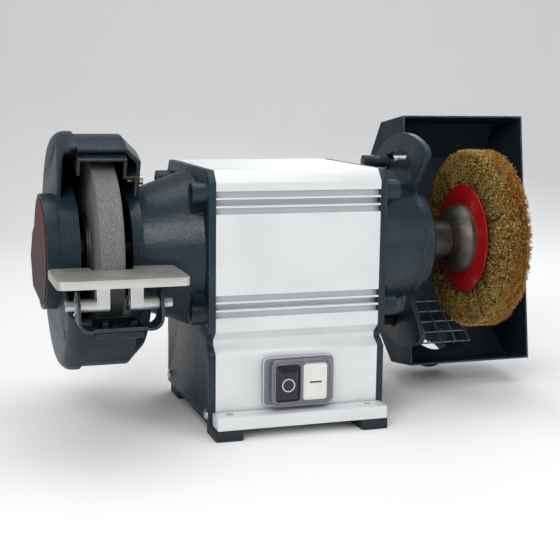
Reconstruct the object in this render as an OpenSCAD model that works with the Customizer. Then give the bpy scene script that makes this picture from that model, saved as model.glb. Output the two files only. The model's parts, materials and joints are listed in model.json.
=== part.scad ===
// Bench grinder: a stone wheel with a tool rest on the left, a wire wheel in a
// swivelling sheet guard on the right, and an extruded motor case between them.
// X runs along the spindle, Y points to the back, Z is up. The origin is on the
// bench, at the centre of the four bench bolt holes.

/* [Motor case] */
// Length of the extruded motor case between the end plates
body_w = 180; // [160:1:216]
// Half depth of the motor case
body_hd = 97; // [95:1:104]
// Height of the spindle axis over the bench
shaft_z = 186.5; // [180:0.5:224]
// Top of the motor case over the spindle axis
body_up = 90; // [88:1:100]
// Wall of the lower, hollow part of the motor case
case_wall = 5; // [4:0.5:7]
// Pitch of the grooves in the case's front and back
groove_pitch = 8.5; // [7:0.5:9]
// Thickness of the end plates cast onto the bells
plate_t = 7.5; // [5:0.5:10]

/* [End bells] */
// Length of the left cone, from its plate to the wheel guard
cone_l = 59.5; // [50:0.5:72]
// Length of the right cone, from its plate to the guard bracket
cone_r = 60.5; // [50:0.5:72]
// Radius of the cones at their plates
cone_big_r = 85; // [83:1:86]
// Radius of the cones at their small ends
cone_small_r = 64; // [62:1:68]
// Wall of the cones
cone_wall = 5.5; // [4:0.5:7]

/* [Stand] */
// Height of the rubber feet
foot_h = 12; // [10:1:18]
// Width of a rubber foot
foot_w = 30; // [26:1:34]
// Depth of a rubber foot
foot_d = 40; // [36:1:44]
// Distance of the bench bolt holes in from the ends of the case
bolt_in = 13; // [12:1:20]
// Distance between the front and back bench bolt holes
bolt_y = 179; // [176:1:182]
// Radius of the bench bolt holes
bolt_r = 4.5; // [3.5:0.5:5.5]
// Thickness of the front bar and the rear rail
bar_t = 13.4; // [10:0.2:16]
// Depth of the front bar
bar_d = 23.4; // [20:0.2:26]

/* [Spindle] */
// Radius of the spindle at its bearings and ends
shaft_r = 10; // [8:0.5:12]
// Outer radius of the ball bearings
bearing_r = 23.5; // [21:0.5:26]
// Width of the ball bearings
bearing_b = 14; // [12:1:16]
// Outer radius of the stator core
stator_r = 80; // [76:0.5:81]
// Length of the stator core
stack_l = 74; // [60:1:90]

/* [Grinding wheel] */
// Radius of the grinding wheel
wheel_r = 100; // [83:1:104]
// Thickness of the grinding wheel
wheel_t = 25; // [20:1:32]
// Radial room between the grinding wheel and its guard
wheel_clear = 19; // [18:1:24]
// Inner width of the wheel guard, from the motor side to the cover
guard_w = 65; // [63:1:76]
// Wall of the wheel guard
guard_wall = 4; // [3:0.5:5]
// Gap between the tool rest and the grinding wheel
rest_gap = 3; // [1.5:0.5:4]
// Width of the tool rest
rest_w = 126; // [110:1:130]
// Depth of the tool rest
rest_d = 80; // [74:1:84]
// Thickness of the tool rest
rest_t = 8; // [6:0.5:10]

/* [Wire wheel] */
// Radius of the wire wheel
brush_r = 105; // [83:1:120]
// Width of the wire wheel at its rim
brush_w = 32; // [24:1:36]
// Length of the spacer tube between the bell and the wire wheel
spacer_l = 36; // [30:1:42]
// Inner width of the sheet guard around the wire wheel
box_w = 157; // [150:1:188]
// Sheet thickness of that guard
sheet = 2; // [1.5:0.5:3]
// Angle by which that guard leans back
box_lean = 8.5; // [4:0.5:9]
// Angle through which that guard can be swung forward
box_swing = 30; // [10:1:32]

/* [Switch] */
// Width of one push button
button_w = 27; // [22:0.5:29]
// Height of one push button
button_h = 40; // [34:0.5:41]
// Travel of the push buttons
button_travel = 3; // [2:0.5:4]

/* [Hidden] */
$fn = 64;

// Clearances
run_gap = 0.05; // running fits
part_gap = 0.3; // between pieces that move past each other
fit_gap = 0.5; // around loose screws and inside slots

// Stand and motor case
shaft_y = 16.5; // the spindle lies behind the centre of the bench bolts
plate_x = body_w / 2;
plate_end = plate_x + plate_t;
bolt_x = body_w - 2 * bolt_in;
left_nose = plate_end + cone_l;
right_nose = plate_end + cone_r;
base_t = 3;
case_bottom = foot_h + base_t - shaft_z;
plate_bottom = foot_h - shaft_z;
waist_up = case_bottom + 95;
waist_in = 10.8;
bench_holes = [for (x = [-1, 1], y = [-1, 1]) [x * bolt_x / 2, y * bolt_y / 2]];

// End bells
screw_r = 3;
boss_r = 11;
boss_l = 16;
bell_screw_y = body_hd - 13;
bell_screws_at = [for (s = [-1, 1], z = [body_up - 23, waist_up + 18]) [s * bell_screw_y, z]];
base_screw_y = body_hd - 9;
base_screw_up = plate_bottom + base_t + bar_t / 2;
nose_t = 6;
housing_wall = 5.5;
left_bearing = left_nose - nose_t - bearing_b;
right_bearing = right_nose - nose_t - bearing_b;
race_r = bearing_r - 3.5;
inner_ring_r = shaft_r + 4;
ball_orbit = (race_r + inner_ring_r) / 2;
ball_r = (race_r - inner_ring_r) / 2 - run_gap;
sleeve_r = shaft_r + 5;
sleeve_bore = sleeve_r + 3;
nose_screw_r = cone_small_r - 17;

// Grooves in the case
groove_w = groove_pitch - 2;
groove_deep = 9;
groove_shallow = 5.5;
upper_groove = body_up - 32.7;
lower_groove = waist_up + 26.6;

// Motor
core_r = 43;
air_gap = 0.4;
shaft_mid_r = shaft_r + 3;
slots = 24;
slot_w = 4.5;
slot_l = 15;

// Grinding side, as distances out from the middle of the machine
wheel_x = left_nose + 38;
wheel_near = wheel_x - wheel_t / 2;
wheel_far = wheel_x + wheel_t / 2;
bush_r = 16;
blotter_t = 1;
flange_t = 6.5;
flange_r = 42;
nut_t = 11;
nut_r = 16.5;
thread_out = 4;
guard_r = wheel_r + wheel_clear + guard_wall;
guard_chamfer = 15;
cover_x = left_nose + guard_w;
cover_t = 19;
cover_rim = 3;
hub_r = 0.67 * wheel_r;
hub_rise = 14;
boss_in = 11.4;
lug_r = 5;
lug_at = guard_r - 14;
cover_screw_angles = [-10, 62, 128, -132];

// Tool rest; depths and heights are measured from the spindle axis
rest_top = -5.6;
rest_notch = 44;
rest_notch_y = -wheel_r - rest_gap;
rest_front = rest_notch_y - 62;
pivot_y = rest_front + 35;
pivot_up = rest_top - 29.4;
leg_in = 10;
leg_w = 12.5;
rest_boss_r = 6.5;
rest_boss_end = 38;
rest_bolt_r = 4;
arm_t = 2.5;
arm_r = 14;
arm_x = rest_boss_end + 1;
arm_low = pivot_up - 25;
rest_travel = 10;
web_front = pivot_y - arm_r;
web_back = pivot_y + 20;
pad_t = 8;
pad_w = 46;
web_w = pad_w + 2;
web_notch = 52;
pad_bolt_x = 14;
pad_bolt_r = 3;

// Spark arrestor
arrestor_tilt = 23.5;
arrestor_in = wheel_r + 14;
arrestor_t = 2;
arrestor_d = 32;
arrestor_tab = wheel_x - left_nose - guard_wall - part_gap;
arrestor_down = 8;
arrestor_up = 1;
arrestor_bolt_y = 3;
arrestor_bolt_up = max(arrestor_in - 32, cone_small_r + 14);
arrestor_drop = arrestor_in - arrestor_bolt_up - 12;
arrestor_tab_l = 19;

// Wire wheel side
bracket_t = 6;
cap_l = 14;
cap_face = right_nose + bracket_t + cap_l;
spacer_r = 22;
spacer_start = cap_face + fit_gap;
collar_x = spacer_start + spacer_l;
collar_l = 21;
collar_r = 41;
disc_r = 63.5;
disc_t = 2.5;
brush_near = collar_x + collar_l + disc_t;
brush_far = brush_near + brush_w;
outer_collar_l = 14;
box_x = cap_face + 6;
box_end = box_x + box_w + 2 * sheet;
box_room = 45;
box_front = 39.6;
box_back = brush_r + box_room;
box_top = brush_r + box_room;
box_low = -brush_r - box_room - 2;
box_top_cut = 42;
box_low_cut = 51;
clamp_y = 34;
clamp_up = 94;
clamp_orbit = norm([clamp_y, clamp_up]);
clamp_back = atan(clamp_y / clamp_up);
clamp_bolt_r = 5;
lobe_r = 124;
spigot_x = box_x + 68;
spigot_r = 25;
spigot_wall = 2;
spigot_l = 30;
wheel_spigot_up = 15 - wheel_r;
wheel_spigot_end = guard_r + 22;

// Switch
switch_up = 54.8 - shaft_z;
button_gap = 3;
boot_wall = 4.5;
boot_l = 13.5;
base_lip = 3;
button_from = button_travel + fit_gap;
button_l = 10.5;

// Turns a flat drawing of depth and height so that it stands across the spindle.
module across() {
    rotate([90, 0, 90]) children();
}

// Sets its children with the spindle axis as their origin.
module at_shaft() {
    translate([0, shaft_y, shaft_z]) children();
}

// The same, mirrored to the grinding side, so that distances count outward.
module at_left() {
    at_shaft() mirror([1, 0, 0]) children();
}

// Extrudes a flat drawing of depth and height from x0 to x1.
module slab(x0, x1) {
    across() translate([0, 0, x0]) linear_extrude(x1 - x0) children();
}

// Revolves a drawing of radius and X about the spindle axis.
module turned(points) {
    across() rotate_extrude() polygon(points);
}

// A ring about the spindle axis.
module ring(r_out, r_in, x0, x1) {
    slab(x0, x1) difference() {
        circle(r_out);
        circle(r_in);
    }
}

// A box given by its two corners.
module block(low, high) {
    translate(low) cube(high - low);
}

// A flat rectangle with round corners, about its centre.
module rounded(w, h, r) {
    square([w - 2 * r, h], center = true);
    square([w, h - 2 * r], center = true);
    for (x = [-1, 1], y = [-1, 1]) translate([x * (w / 2 - r), y * (h / 2 - r)]) circle(r);
}

// A point on a circle about the spindle; the angle counts back from straight up.
function around(r, angle) = [r * sin(angle), r * cos(angle)];

// A socket screw along X, with its head from x0 outward and its shank inward.
module socket_screw(x0, shank_l, r, head_r, head_l) {
    ring(r, 0, x0 - shank_l, x0);
    slab(x0, x0 + head_l) difference() {
        circle(head_r);
        circle(r * 0.95, $fn = 6);
    }
}

// A hexagon nut about the spindle axis.
module nut(x0, t, r, bore) {
    slab(x0, x0 + t) difference() {
        circle(r, $fn = 6);
        circle(bore);
    }
}

// Outline of the motor case, with its chamfered top edges and its waist.
module case_outline(bottom) {
    half = [
        [body_hd - 10.2, body_up], [body_hd, body_up - 12.4], [body_hd, waist_up],
        [body_hd - waist_in, waist_up - 9.6], [body_hd - waist_in, waist_up - 15.1],
        [body_hd, waist_up - 23.4], [body_hd, bottom]
    ];
    polygon(concat(half, [for (i = [len(half) - 1:-1:0]) [-half[i][0], half[i][1]]]));
}

// Hollow inside of the case: the stator seat, two side pockets and the switch room.
module case_hollow() {
    room = body_hd - case_wall;
    neck = room - waist_in;
    pocket_low = lower_groove + 1.5 * groove_pitch + 3;
    pocket_high = upper_groove - 1.5 * groove_pitch - 3;
    circle(stator_r);
    translate([-room, pocket_low]) square([2 * room, pocket_high - pocket_low]);
    polygon([
        [-neck, waist_up + 6], [neck, waist_up + 6], [neck, waist_up - 17], [room, waist_up - 27],
        [room, case_bottom - 1], [-room, case_bottom - 1], [-room, waist_up - 27], [-neck, waist_up - 17]
    ]);
}

// One groove along the case, on the front (-1) or the back (1).
module groove(side, up, deep) {
    translate([side * (body_hd - deep / 2 + 0.5), up]) square([deep + 1, groove_w], center = true);
}

module motor_case() {
    color("gainsboro") at_shaft() difference() {
        slab(-plate_x, plate_x) difference() {
            case_outline(case_bottom);
            case_hollow();
            for (side = [-1, 1], mid = [upper_groove, lower_groove]) {
                groove(side, mid, groove_deep);
                for (step = [-1, 1]) groove(side, mid + step * groove_pitch, groove_shallow);
            }
            for (y = [-60, 60]) translate([y, body_up]) square([2, 2.4], center = true);
            for (p = bell_screws_at) translate(p) circle(screw_r);
        }
        translate([0, -body_hd, switch_up])
            cube([2 * button_w + 6, 3 * case_wall, button_h + 1], center = true);
        translate([-40, body_hd - case_wall - 1, switch_up]) rotate([-90, 0, 0])
            cylinder(r = 8, h = case_wall + 2);
    }
}

// One end bell, with its plate, cone, nose and bearing housing.
module bell(length, bearing_x) {
    nose = plate_end + length;
    slope = (cone_big_r - cone_small_r) / length;
    in_r = cone_big_r - cone_wall;
    in_nose_r = cone_small_r - cone_wall + slope * nose_t;
    housing_r = bearing_r + housing_wall;
    difference() {
        union() {
            slab(plate_x, plate_end) difference() {
                case_outline(plate_bottom);
                circle(in_r);
            }
            turned([
                [sleeve_bore, nose], [cone_small_r, nose], [cone_big_r, plate_end], [cone_big_r, plate_x],
                [in_r, plate_x], [in_r, plate_end], [in_nose_r, nose - nose_t], [housing_r, nose - nose_t],
                [housing_r, bearing_x - 2], [bearing_r, bearing_x - 2], [bearing_r, bearing_x + bearing_b],
                [sleeve_bore, bearing_x + bearing_b]
            ]);
            difference() {
                for (p = bell_screws_at) {
                    slab(plate_end - 1, plate_end + boss_l) translate(p) circle(boss_r);
                    slab(plate_end - 1, plate_end + boss_l - 4) rotate(atan2(p[1], p[0]))
                        translate([in_r - 6, -boss_r * 0.8]) square([norm(p) - in_r + 6, boss_r * 1.6]);
                }
                turned([
                    [0, plate_end - 2], [in_r + slope * 2, plate_end - 2],
                    [in_r - slope * 20, plate_end + 20], [0, plate_end + 20]
                ]);
            }
        }
        for (p = bell_screws_at) {
            slab(plate_x - 1, plate_end + boss_l + 1) translate(p) circle(screw_r);
            slab(plate_end + boss_l - 7, plate_end + boss_l + 1) translate(p) circle(screw_r + 3);
        }
        for (y = [-1, 1]) slab(plate_x - 1, plate_end + 1)
            translate([y * base_screw_y, base_screw_up]) circle(screw_r);
        for (a = [60:120:300]) slab(nose - nose_t - 1, nose + 1)
            translate(around(nose_screw_r, a)) circle(screw_r);
    }
}

module left_bell() {
    color("darkslategray") at_left() bell(cone_l, left_bearing);
}

module right_bell() {
    color("darkslategray") at_shaft() bell(cone_r, right_bearing);
}

module front_bar() {
    back = shaft_y - body_hd;
    color("gainsboro") difference() {
        block([-plate_x - 3.5, back - bar_d, foot_h], [plate_x + 3.5, back, foot_h + bar_t]);
        for (p = bench_holes) translate([p[0], p[1], foot_h - 1]) cylinder(r = bolt_r, h = bar_t + 2);
    }
}

module rear_rail() {
    color("silver") difference() {
        block(
            [-plate_x, bolt_y / 2 - 12, foot_h + base_t],
            [plate_x, shaft_y + body_hd - case_wall, foot_h + base_t + bar_t]
        );
        for (p = bench_holes) translate([p[0], p[1], foot_h]) cylinder(r = bolt_r, h = bar_t + 5);
        for (x = [-1, 1]) translate([x * plate_x, shaft_y + base_screw_y, shaft_z + base_screw_up])
            rotate([0, 90, 0]) cylinder(r = screw_r, h = 24, center = true);
    }
}

module base_plate() {
    color("slategray") difference() {
        block([-plate_x, shaft_y - body_hd, foot_h], [plate_x, shaft_y + body_hd, foot_h + base_t]);
        for (p = bench_holes) translate([p[0], p[1], foot_h - 1]) cylinder(r = bolt_r, h = base_t + 2);
    }
}

module rubber_feet() {
    color([0.12, 0.12, 0.13]) for (p = bench_holes) difference() {
        translate([p[0] + sign(p[0]) * 3.5, p[1] + (p[1] < 0 ? 6 : 0), 0]) linear_extrude(foot_h)
            rounded(foot_w, foot_d, 3);
        translate([p[0], p[1], -1]) cylinder(r = bolt_r, h = foot_h + 2);
    }
}

module bell_screws() {
    color("dimgray") for (side = [0, 1]) at_shaft() mirror([side, 0, 0])
        for (p = bell_screws_at) translate([0, p[0], p[1]])
            socket_screw(plate_end + boss_l - 7, boss_l + 20, screw_r, screw_r + 2.4, 6);
}

module base_screws() {
    color("lightgray") for (side = [0, 1]) at_shaft() mirror([side, 0, 0]) for (y = [-1, 1])
        translate([0, y * base_screw_y, base_screw_up]) {
            ring(screw_r, 0, plate_end - (y > 0 ? plate_t + 11 : plate_t), plate_end);
            turned([[0, plate_end], [screw_r + 2.5, plate_end], [screw_r + 1, plate_end + 2.2], [0, plate_end + 3]]);
        }
}

module stator_core() {
    color("lightslategray") at_shaft() slab(-stack_l / 2, stack_l / 2) difference() {
        circle(stator_r);
        circle(core_r);
        for (i = [0:slots - 1]) rotate(i * 360 / slots)
            translate([core_r + 3, -slot_w / 2]) square([slot_l, slot_w]);
    }
}

module stator_windings() {
    reach = stack_l / 2;
    color("peru") at_shaft() {
        for (side = [0, 1]) mirror([side, 0, 0]) ring(core_r + 26, core_r + 3.3, reach, reach + 20);
        slab(-reach - 1, reach + 1) for (i = [0:slots - 1]) rotate(i * 360 / slots)
            translate([core_r + 3.3, part_gap - slot_w / 2]) square([slot_l - 0.6, slot_w - 2 * part_gap]);
    }
}

module capacitor() {
    color("gainsboro") translate([10, shaft_y + 20, foot_h + base_t + 24.5]) rotate([0, 90, 0]) {
        cylinder(r = 22, h = 64);
        translate([0, 0, 64]) cylinder(r = 14, h = 3);
    }
}

module capacitor_clip() {
    color("silver") translate([36, shaft_y + 20, foot_h + base_t + 24.5]) rotate([0, 90, 0]) {
        difference() {
            cylinder(r = 24, h = 14);
            translate([0, 0, -1]) cylinder(r = 22, h = 16);
        }
    }
}

module bearing_outer_rings() {
    color("silver") {
        at_left() ring(bearing_r, race_r, left_bearing, left_bearing + bearing_b);
        at_shaft() ring(bearing_r, race_r, right_bearing, right_bearing + bearing_b);
    }
}

module wave_washer() {
    color("steelblue") at_left() ring(bearing_r, race_r + 0.6, left_bearing - 1.2, left_bearing);
}

module bearing_cap() {
    color("darkslategray") at_shaft() difference() {
        turned([
            [sleeve_bore, cap_face - cap_l], [cone_small_r - 6, cap_face - cap_l], [cone_small_r - 7, cap_face - 3],
            [cone_small_r - 10, cap_face], [sleeve_bore, cap_face]
        ]);
        for (a = [60:120:300]) slab(cap_face - cap_l - 1, cap_face + 1)
            translate(around(nose_screw_r, a)) circle(screw_r);
        for (a = [60:120:300]) slab(cap_face - 7, cap_face + 1)
            translate(around(nose_screw_r, a)) circle(screw_r + 3);
    }
}

module cap_screws() {
    color("dimgray") at_shaft() for (a = [60:120:300]) {
        p = around(nose_screw_r, a);
        translate([0, p[0], p[1]])
            socket_screw(cap_face - 7, cap_l + bracket_t + nose_t - 7, screw_r, screw_r + 2.4, 6);
    }
}

module cable_gland() {
    color([0.15, 0.15, 0.16]) translate([-40, shaft_y + body_hd, shaft_z + switch_up]) rotate([-90, 0, 0])
        difference() {
            union() {
                translate([0, 0, -case_wall - 3]) cylinder(r = 7.9, h = case_wall + 3);
                cylinder(r = 12, h = 6, $fn = 6);
                translate([0, 0, 6]) cylinder(r = 10, h = 10);
                translate([0, 0, 16]) cylinder(r1 = 10, r2 = 6.5, h = 5);
            }
            translate([0, 0, -case_wall - 4]) cylinder(r = 4, h = case_wall + 26);
        }
}

module terminal_block() {
    color("ivory") translate([-70, shaft_y + 5, foot_h + base_t]) difference() {
        cube([50, 18, 20]);
        for (i = [0:3]) translate([8 + i * 11.3, 9, 8]) cylinder(r = 3, h = 14);
    }
}

// Places flat drawings of the switch on the case's front; they grow forward.
module on_front() {
    translate([0, shaft_y - body_hd, shaft_z + switch_up]) rotate([90, 0, 0]) children();
}

module button_holes(gap) {
    for (s = [-1, 1]) translate([s * (button_w + button_gap) / 2, 0])
        rounded(button_w + 2 * gap, button_h + 2 * gap, 4);
}

module switch_base() {
    color([0.42, 0.42, 0.5]) on_front() difference() {
        linear_extrude(base_lip) rounded(2 * button_w + 25, button_h + 12.5, 6);
        translate([0, 0, -1]) linear_extrude(base_lip + 2) button_holes(part_gap);
    }
}

module switch_body() {
    color([0.2, 0.2, 0.22]) on_front() translate([0, 0, -38]) linear_extrude(38)
        square([2 * button_w + 5, button_h], center = true);
}

module switch_boot() {
    color([0.62, 0.6, 0.7, 0.5]) on_front() translate([0, 0, base_lip]) linear_extrude(boot_l - base_lip)
        difference() {
            rounded(2 * (button_w + boot_wall) + button_gap, button_h + 2 * boot_wall, 7);
            button_holes(part_gap);
        }
}

// A push button with a bevelled edge on its face, set to one side of the middle.
module push_button(side) {
    on_front() translate([side * (button_w + button_gap) / 2, 0, button_from]) {
        linear_extrude(button_l - 2) rounded(button_w, button_h, 3.7);
        translate([0, 0, button_l - 2]) linear_extrude(2) rounded(button_w - 3, button_h - 3, 3);
    }
}

module off_button() {
    color([0.1, 0.1, 0.11]) push_button(-1);
}

module on_button() {
    color("ivory") push_button(1);
}

module shaft() {
    left_end = wheel_far + blotter_t + flange_t + nut_t + thread_out;
    right_end = brush_far + disc_t + outer_collar_l + nut_t + thread_out;
    color("lightsteelblue") at_shaft() turned([
        [0, -left_end], [shaft_r - 1, -left_end], [shaft_r, 1 - left_end], [shaft_r, -left_bearing],
        [shaft_mid_r, -left_bearing], [shaft_mid_r, right_bearing], [shaft_r, right_bearing],
        [shaft_r, right_end - 1], [shaft_r - 1, right_end], [0, right_end]
    ]);
}

module rotor_core() {
    color("slategray") at_shaft() ring(core_r - air_gap, shaft_mid_r, -stack_l / 2, stack_l / 2);
}

module rotor_end_rings() {
    color("silver") at_shaft() for (side = [0, 1]) mirror([side, 0, 0])
        ring(core_r - air_gap, core_r - 12, stack_l / 2, stack_l / 2 + 10);
}

module bearing_inner_rings() {
    color("silver") {
        at_left() ring(inner_ring_r, shaft_r, left_bearing, left_bearing + bearing_b);
        at_shaft() ring(inner_ring_r, shaft_r, right_bearing, right_bearing + bearing_b);
    }
}

module bearing_balls() {
    color("white") for (x = [-left_bearing - bearing_b / 2, right_bearing + bearing_b / 2]) at_shaft()
        for (a = [0:40:320]) rotate([a, 0, 0]) translate([x, ball_orbit, 0]) sphere(ball_r);
}

module inner_wheel_flange() {
    back = wheel_near - blotter_t - flange_t;
    start = left_bearing + bearing_b;
    color("lightslategray") at_left() turned([
        [shaft_r, start], [sleeve_r, start], [sleeve_r, back], [flange_r - 3, back], [flange_r, back + 3],
        [flange_r, back + flange_t], [flange_r - 12, back + flange_t], [flange_r - 14, back + flange_t - 1],
        [shaft_r, back + flange_t - 1]
    ]);
}

module outer_wheel_flange() {
    face = wheel_far + blotter_t;
    color("lightslategray") at_left() turned([
        [shaft_r, face + 1], [flange_r - 14, face + 1], [flange_r - 12, face], [flange_r, face],
        [flange_r, face + flange_t - 3], [flange_r - 3, face + flange_t], [shaft_r, face + flange_t]
    ]);
}

module wheel_blotters() {
    color("tan") at_left() for (x = [wheel_near - blotter_t, wheel_far])
        ring(flange_r + 2, bush_r, x, x + blotter_t);
}

module wheel_bush() {
    color("whitesmoke") at_left() ring(bush_r, shaft_r, wheel_near, wheel_far);
}

module grinding_wheel() {
    color("gray") at_left() turned([
        [bush_r, wheel_near], [wheel_r - 1, wheel_near], [wheel_r, wheel_near + 1],
        [wheel_r, wheel_far - 1], [wheel_r - 1, wheel_far], [bush_r, wheel_far]
    ]);
}

module wheel_nut() {
    color("silver") at_left() nut(wheel_far + blotter_t + flange_t, nut_t, nut_r, shaft_r);
}

module spacer_tube() {
    start = right_bearing + bearing_b;
    color("dimgray") at_shaft() turned([
        [shaft_r, start], [sleeve_r, start], [sleeve_r, spacer_start], [spacer_r - 1, spacer_start],
        [spacer_r, spacer_start + 1], [spacer_r, collar_x], [shaft_r, collar_x]
    ]);
}

module inner_brush_collar() {
    x = collar_x;
    color("silver") at_shaft() turned([
        [shaft_r, x], [spacer_r + 1, x], [spacer_r + 9, x + 4], [collar_r - 4, x + 10], [collar_r - 0.5, x + 16],
        [collar_r, x + collar_l], [collar_r - 7, x + collar_l], [collar_r - 11, x + 15], [shaft_r, x + 13]
    ]);
}

module outer_brush_collar() {
    x = brush_far + disc_t;
    color("silver") at_shaft() turned([
        [shaft_r, x + 2], [collar_r - 9, x + 2], [collar_r - 7, x], [collar_r, x], [collar_r - 1, x + 5],
        [collar_r - 8, x + 11], [spacer_r, x + outer_collar_l], [shaft_r, x + outer_collar_l]
    ]);
}

module brush_spool() {
    color("firebrick") at_shaft() turned([
        [shaft_r, brush_near - disc_t], [disc_r, brush_near - disc_t], [disc_r, brush_near],
        [disc_r - 18, brush_near], [disc_r - 18, brush_far], [disc_r, brush_far],
        [disc_r, brush_far + disc_t], [shaft_r, brush_far + disc_t]
    ]);
}

module brush_wires() {
    color("goldenrod") at_shaft() turned([
        [disc_r - 18, brush_near], [brush_r - 5, brush_near], [brush_r, brush_near + 5],
        [brush_r, brush_far - 5], [brush_r - 5, brush_far], [disc_r - 18, brush_far]
    ]);
}

module brush_nut() {
    color("silver") at_shaft() nut(brush_far + disc_t + outer_collar_l, nut_t, nut_r, shaft_r);
}

// The opening at the front of the wheel guard, left clear around its hub.
module mouth(keep_r) {
    difference() {
        polygon([
            around(2 * guard_r, -26), around(guard_r - guard_wall, -26.5), around(hub_r + 6, -29), [0, 0],
            around(hub_r + 1, -114), around(guard_r, -115), around(2 * guard_r, -112),
            [-3 * guard_r, 0], [-3 * guard_r, 2 * guard_r]
        ]);
        circle(keep_r);
    }
}

// A round bar along the dust outlet at the back of the wheel guard: its hose end
// has radius r, and the neck inside the guard's radius differs by step.
module wheel_outlet(r, step) {
    translate([(left_nose + cover_x) / 2, 0, wheel_spigot_up]) rotate([-90, 0, 0]) {
        cylinder(r = r + step, h = guard_r);
        translate([0, 0, guard_r - 1]) cylinder(r = r, h = wheel_spigot_end - guard_r + 1);
    }
}

module wheel_guard() {
    inner_x = left_nose + guard_wall;
    inner_r = guard_r - guard_wall;
    color("darkslategray") at_left() difference() {
        union() {
            difference() {
                union() {
                    turned([
                        [sleeve_bore, left_nose], [guard_r - guard_chamfer, left_nose],
                        [guard_r, left_nose + guard_chamfer], [guard_r, cover_x], [inner_r, cover_x],
                        [inner_r, left_nose + guard_chamfer + 2], [guard_r - guard_chamfer - 2, inner_x],
                        [sleeve_bore, inner_x]
                    ]);
                    intersection() {
                        for (a = cover_screw_angles) slab(cover_x - 15, cover_x)
                            translate(around(lug_at, a)) rotate(-a) translate([-lug_r, -lug_r])
                                square([2 * lug_r, 2 * lug_r + 6]);
                        slab(cover_x - 15, cover_x) circle(guard_r - 1);
                    }
                    difference() {
                        wheel_outlet(spigot_r, 1.5);
                        slab(0, 2 * cover_x) circle(inner_r);
                    }
                }
                slab(inner_x, cover_x + 1) mouth(0);
                slab(left_nose - 1, inner_x) mouth(hub_r - 2);
            }
            ring(hub_r - 1.5, flange_r + 11, inner_x - 1, left_nose + boss_in);
            // Ledge that carries the bracket of the tool rest
            difference() {
                block(
                    [wheel_x - pad_w / 2, pivot_y - 5, arm_low - part_gap - pad_t],
                    [wheel_x + pad_w / 2, 20 - guard_r, arm_low - part_gap]
                );
                slab(0, 2 * cover_x) circle(inner_r + 1);
            }
        }
        difference() {
            wheel_outlet(spigot_r - spigot_wall, -1.5);
            slab(0, 2 * cover_x) circle(guard_r - 40);
        }
        for (a = [60:120:300]) slab(left_nose - 1, inner_x + 1) translate(around(nose_screw_r, a)) circle(screw_r);
        for (a = cover_screw_angles) slab(cover_x - 12, cover_x + 1) translate(around(lug_at, a)) circle(2.5);
        for (x = [-1, 1]) translate([wheel_x + x * pad_bolt_x, pivot_y + 2, arm_low - pad_t - 1])
            cylinder(r = pad_bolt_r, h = pad_t + 2);
        rotate([arrestor_tilt, 0, 0]) slab(left_nose - 1, inner_x + 1)
            translate([arrestor_bolt_y, arrestor_bolt_up]) circle(screw_r);
    }
}

// Raised housing on the cover: a round hub that runs into a tapered band to the back.
module hub_shape(inset) {
    circle(hub_r - 6 - inset);
    polygon([
        [-20, 52 - inset], [30, 36 - inset], [84 - inset, 10 - inset], [104 - inset, -18],
        [88 - inset, -52 + inset], [30, -56 + inset], [-20, -54 + inset]
    ]);
}

module guard_cover() {
    out_r = guard_r + cover_rim;
    face = cover_x + cover_t;
    round_r = 13;
    color("darkslategray") at_left() difference() {
        union() {
            difference() {
                turned(concat(
                    [[0, face]],
                    [for (a = [0:15:90]) [out_r - round_r + round_r * sin(a), face - round_r + round_r * cos(a)]],
                    [[out_r, cover_x], [out_r - cover_rim, cover_x]],
                    [for (a = [90:-30:0]) [out_r - 14 + 10 * sin(a), face - 14 + 10 * cos(a)]],
                    [[0, face - 4]]
                ));
                slab(0, 2 * cover_x) mouth(hub_r);
            }
            ring(hub_r, hub_r - 6, cover_x, face);
            difference() {
                slab(face - 1, face + hub_rise) hub_shape(0);
                slab(0, 2 * cover_x) mouth(hub_r - 6);
            }
            for (a = cover_screw_angles) slab(cover_x, face - 2) translate(around(lug_at, a)) circle(lug_r + 1);
        }
        slab(face - 5, face + hub_rise - 4) intersection() {
            hub_shape(4);
            circle(hub_r - 10);
        }
        for (a = cover_screw_angles) {
            slab(cover_x - 1, face + 1) translate(around(lug_at, a)) circle(2.5);
            slab(face - 5, face + 1) translate(around(lug_at, a)) circle(4.6);
        }
    }
}

module cover_badge() {
    face = cover_x + cover_t + hub_rise;
    color("firebrick") at_left() slab(face, face + 0.8) difference() {
        hub_shape(5);
        mouth(hub_r - 11);
    }
}

module guard_screws() {
    color("dimgray") at_left() for (a = [60:120:300]) {
        p = around(nose_screw_r, a);
        translate([0, p[0], p[1]])
            socket_screw(left_nose + guard_wall, guard_wall + nose_t, screw_r, screw_r + 2.4, 5);
    }
}

module cover_screws() {
    face = cover_x + cover_t;
    color("silver") at_left() for (a = cover_screw_angles) {
        p = around(lug_at, a);
        translate([0, p[0], p[1]]) socket_screw(face - 5, cover_t + 7, 2.5, 4.4, 4);
    }
}

// Sets its children on a radius that leans forward over the wheel.
module over_wheel() {
    at_left() rotate([arrestor_tilt, 0, 0]) children();
}

module spark_arrestor() {
    low = arrestor_in - arrestor_drop;
    left = -28;
    right = 21.5;
    t = arrestor_t;
    slot_mid = arrestor_bolt_up + (arrestor_down - arrestor_up) / 2;
    color("lightslategray") over_wheel() translate([wheel_x, 0, 0]) difference() {
        translate([0, arrestor_d / 2, 0]) rotate([90, 0, 0]) linear_extrude(arrestor_d) mirror([1, 0]) polygon([
            [left, low + 4], [left + t, low + 4], [left + t, arrestor_in], [right - t, arrestor_in],
            [right - t, low], [arrestor_tab - t, low], [arrestor_tab - t, low - arrestor_tab_l],
            [arrestor_tab, low - arrestor_tab_l], [arrestor_tab, low + t], [right, low + t],
            [right, arrestor_in + t], [left, arrestor_in + t]
        ]);
        translate([0, arrestor_bolt_y, slot_mid]) cube(
            [2 * guard_w, 2 * screw_r + 2 * fit_gap, arrestor_down + arrestor_up + 2 * screw_r + 2 * fit_gap],
            center = true
        );
    }
}

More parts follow.
